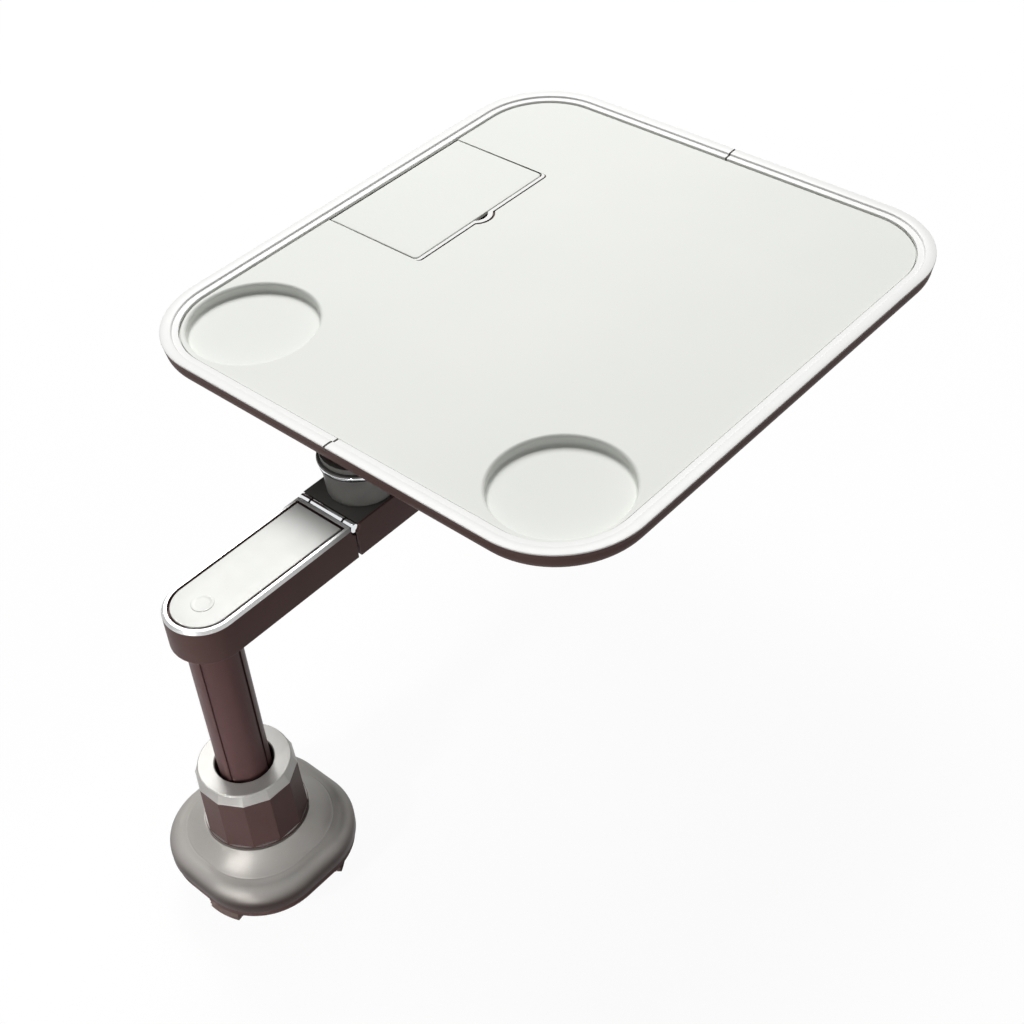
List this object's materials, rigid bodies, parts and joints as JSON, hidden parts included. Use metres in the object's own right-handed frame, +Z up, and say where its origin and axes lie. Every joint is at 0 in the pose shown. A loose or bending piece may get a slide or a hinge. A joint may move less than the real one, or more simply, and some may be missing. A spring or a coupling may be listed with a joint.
{
  "type": "car cup holder tray",
  "caption": "Car tray on a post: expanding cup-holder plug with a turn collar, swivelling arm, folding link and swivelling tray with cup recesses and a lidded compartment.",
  "frame": {"origin": "middle of the plug's flat underside, on the post's axis", "axes": "+Z up the post; +X along the arm from the post to the tray; +Y to the side that has the lidded compartment"},
  "size_m": [0.4879, 0.324, 0.2525],
  "materials": {
    "pale_plastic": "fine matt",
    "white_plastic": "satin gloss",
    "dark_plastic": "fine matt",
    "dark_aluminium": "dark satin coat",
    "silver_aluminium": "satin",
    "pale_aluminium": "satin lacquer",
    "chrome": "polished",
    "steel": "plain",
    "brass": "plain",
    "nylon": "plain",
    "rubber": "matt"
  },
  "bodies": {
    "base": {"foot_plate": "dark_plastic", "foot_screw_1": "steel", "foot_screw_2": "steel", "foot_screw_3": "steel", "plug_body": "dark_plastic", "base_cap": "silver_aluminium", "cap_screw_1": "steel", "cap_screw_2": "steel", "cap_screw_3": "steel", "cap_screw_4": "steel", "post_tube": "dark_aluminium", "post_foot_insert": "steel", "post_bolt": "steel", "post_top_insert": "steel", "pivot_bolt": "steel", "pivot_washer": "nylon"},
    "collar": {"collar": "silver_aluminium", "scroll_plate": "steel", "scroll_screw_1": "steel", "scroll_screw_2": "steel", "scroll_screw_3": "steel"},
    "leg_1": {"leg_1": "dark_plastic", "leg_pad_1": "rubber"},
    "leg_2": {"leg_2": "dark_plastic", "leg_pad_2": "rubber"},
    "leg_3": {"leg_3": "dark_plastic", "leg_pad_3": "rubber"},
    "arm": {"arm_housing": "dark_aluminium", "arm_cover": "pale_aluminium", "pivot_cap": "pale_aluminium", "pivot_bush": "brass", "arm_hinge_leaf": "chrome"},
    "link": {"link_block": "dark_aluminium", "link_hinge_leaf": "chrome", "hinge_pin": "steel", "access_cap": "dark_plastic", "swivel_cone": "dark_aluminium", "swivel_washer": "nylon"},
    "tray": {"swivel_ring": "chrome", "hub_plate": "dark_aluminium", "hub_screw_1": "steel", "hub_screw_2": "steel", "hub_screw_3": "steel", "hub_screw_4": "steel", "swivel_bolt": "steel", "swivel_nut": "steel", "tray_pan": "dark_plastic", "pan_screw_1": "steel", "pan_screw_2": "steel", "pan_screw_3": "steel", "pan_screw_4": "steel", "tray_plate": "pale_plastic", "cup_dish_left": "pale_plastic", "cup_dish_right": "pale_plastic", "compartment_tub": "dark_plastic", "flap_pin": "steel", "rim_left": "white_plastic", "rim_right": "white_plastic"},
    "flap": {"flap_lid": "pale_plastic"}
  },
  "joints": [
    {"name": "collar_turn", "type": "hinge", "parent": "base", "child": "collar", "pos_m": [0, 0, 0.0518], "axis": [0, 0, 1], "range_deg": [-59, 98]},
    {"name": "leg_1_slide", "type": "slide", "parent": "base", "child": "leg_1", "axis": [-0.9848, -0.1736, 0], "range_m": [-0.005, 0.003]},
    {"name": "leg_2_slide", "type": "slide", "parent": "base", "child": "leg_2", "axis": [0.342, 0.9397, 0], "range_m": [-0.005, 0.003]},
    {"name": "leg_3_slide", "type": "slide", "parent": "base", "child": "leg_3", "axis": [0.6428, -0.766, 0], "range_m": [-0.005, 0.003]},
    {"name": "arm_swivel", "type": "hinge", "parent": "base", "child": "arm", "pos_m": [0, 0, 0.1903], "axis": [0, 0, 1], "continuous": true},
    {"name": "link_fold", "type": "hinge", "parent": "arm", "child": "link", "pos_m": [0.085, 0, 0.2109], "axis": [0, -1, 0], "range_deg": [0, 80]},
    {"name": "tray_swivel", "type": "hinge", "parent": "link", "child": "tray", "pos_m": [0.1105, 0, 0.2343], "axis": [0, 0, 1], "range_deg": [-360, 0]},
    {"name": "flap_open", "type": "hinge", "parent": "tray", "child": "flap", "pos_m": [0.2403, 0.1494, 0.2477], "axis": [-1, 0, 0], "range_deg": [0, 90]}
  ],
  "couplings": [
    {"joint": "leg_1_slide", "follows": "collar_turn", "m_per_rad": -0.0028648},
    {"joint": "leg_2_slide", "follows": "collar_turn", "m_per_rad": -0.0028648},
    {"joint": "leg_3_slide", "follows": "collar_turn", "m_per_rad": -0.0028648}
  ]
}
